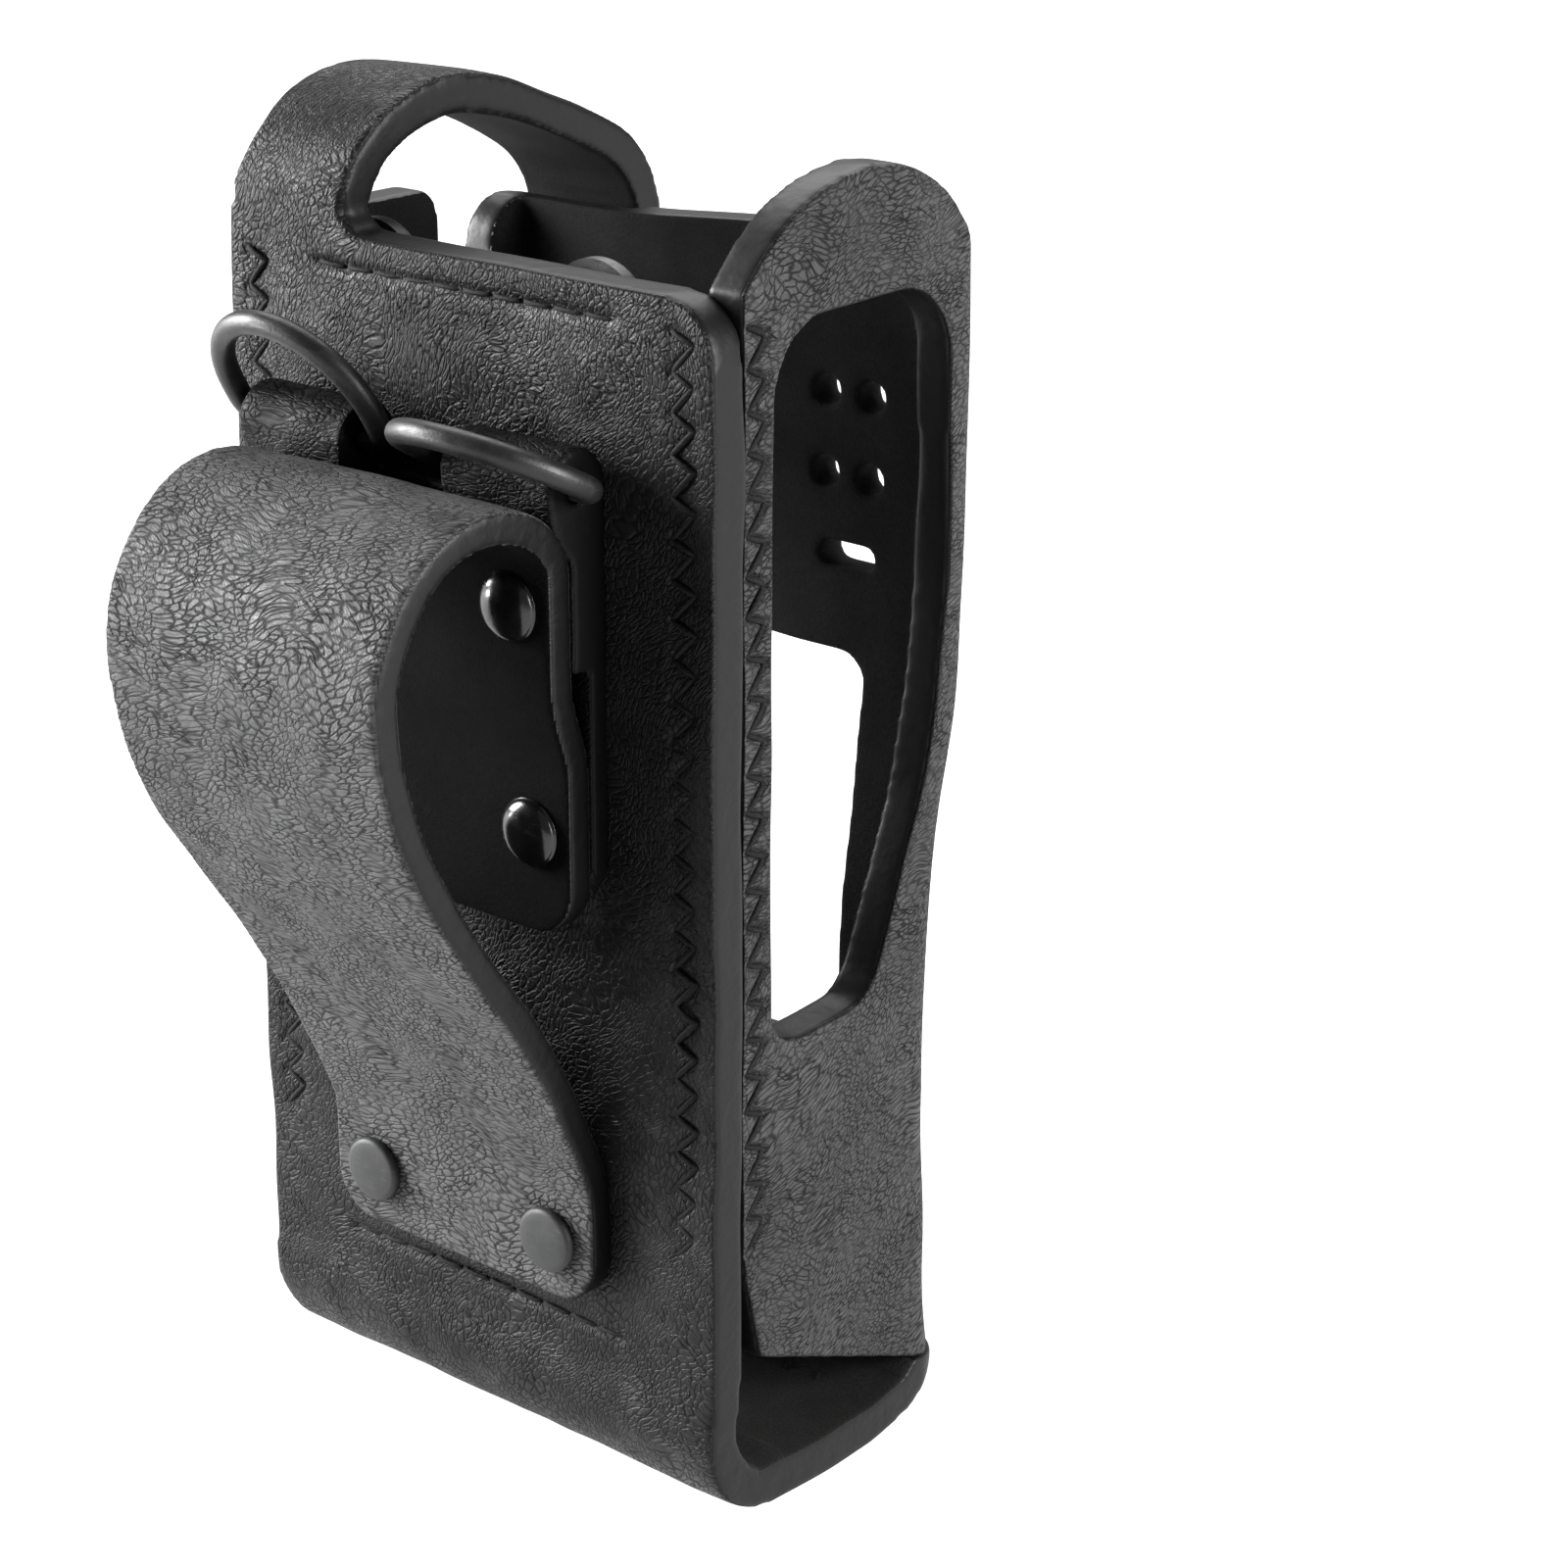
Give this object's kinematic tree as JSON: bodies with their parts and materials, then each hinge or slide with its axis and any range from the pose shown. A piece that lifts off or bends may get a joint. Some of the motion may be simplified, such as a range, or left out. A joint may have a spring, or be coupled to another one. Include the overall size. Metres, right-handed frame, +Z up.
{
  "type": "leather radio holster",
  "caption": "Open-topped leather carrying case for a hand-held device, with side windows, a snap-down top strap, a riveted belt loop and D-rings for a shoulder strap.",
  "frame": {"origin": "centre of the flat foot of the bottom flap, on the ground plane", "axes": "+X along the back panel, +Y from the belt-loop side to the front panel, +Z up to the open top"},
  "size_m": [0.073, 0.0906, 0.1616],
  "materials": {
    "case_leather": "black pebble-grain leather with dark grey painted edges",
    "wrap_leather": "black pebble-grain leather with dark grey painted edges",
    "loop_leather": "black pebble-grain leather, suede inside",
    "carrier_leather": "black leather, smooth edges",
    "strap_leather": "black pebble-grain leather with dark grey painted edges",
    "liner_suede": "black suede-like felt",
    "thread": "black waxed thread",
    "black_metal": "semi-gloss black enamel",
    "black_wire": "satin black enamel"
  },
  "bodies": {
    "case": {"back_sheet": "case_leather", "front_wrap": "wrap_leather", "liner_patch": "liner_suede", "liner_discs": "liner_suede", "liner_stitches": "thread", "seam_left": "thread", "seam_right": "thread", "seam_bottom": "thread", "belt_loop": "loop_leather", "loop_rivets_upper": "black_metal", "loop_rivets_lower": "black_metal", "rivet_washers": "black_metal", "ring_carrier": "carrier_leather", "snap_stud": "black_metal", "stud_post": "black_metal"},
    "strap": {"top_strap": "strap_leather", "snap_cap": "black_metal", "snap_socket": "black_metal"},
    "ring_left": {"d_ring_left": "black_wire"},
    "ring_right": {"d_ring_right": "black_wire"}
  },
  "joints": [
    {"name": "strap_swing", "type": "hinge", "parent": "case", "child": "strap", "pos_m": [-0.02675, -0.01949, 0.15048], "axis": [1, 0, 0], "range_deg": [0, 110]},
    {"name": "ring_left_swing", "type": "hinge", "parent": "case", "child": "ring_left", "pos_m": [-0.018, -0.0268, 0.1255], "axis": [-1, 0, 0], "range_deg": [-50, 30]},
    {"name": "ring_right_swing", "type": "hinge", "parent": "case", "child": "ring_right", "pos_m": [0.013, -0.0268, 0.1255], "axis": [-1, 0, 0], "range_deg": [-18, 60]}
  ]
}
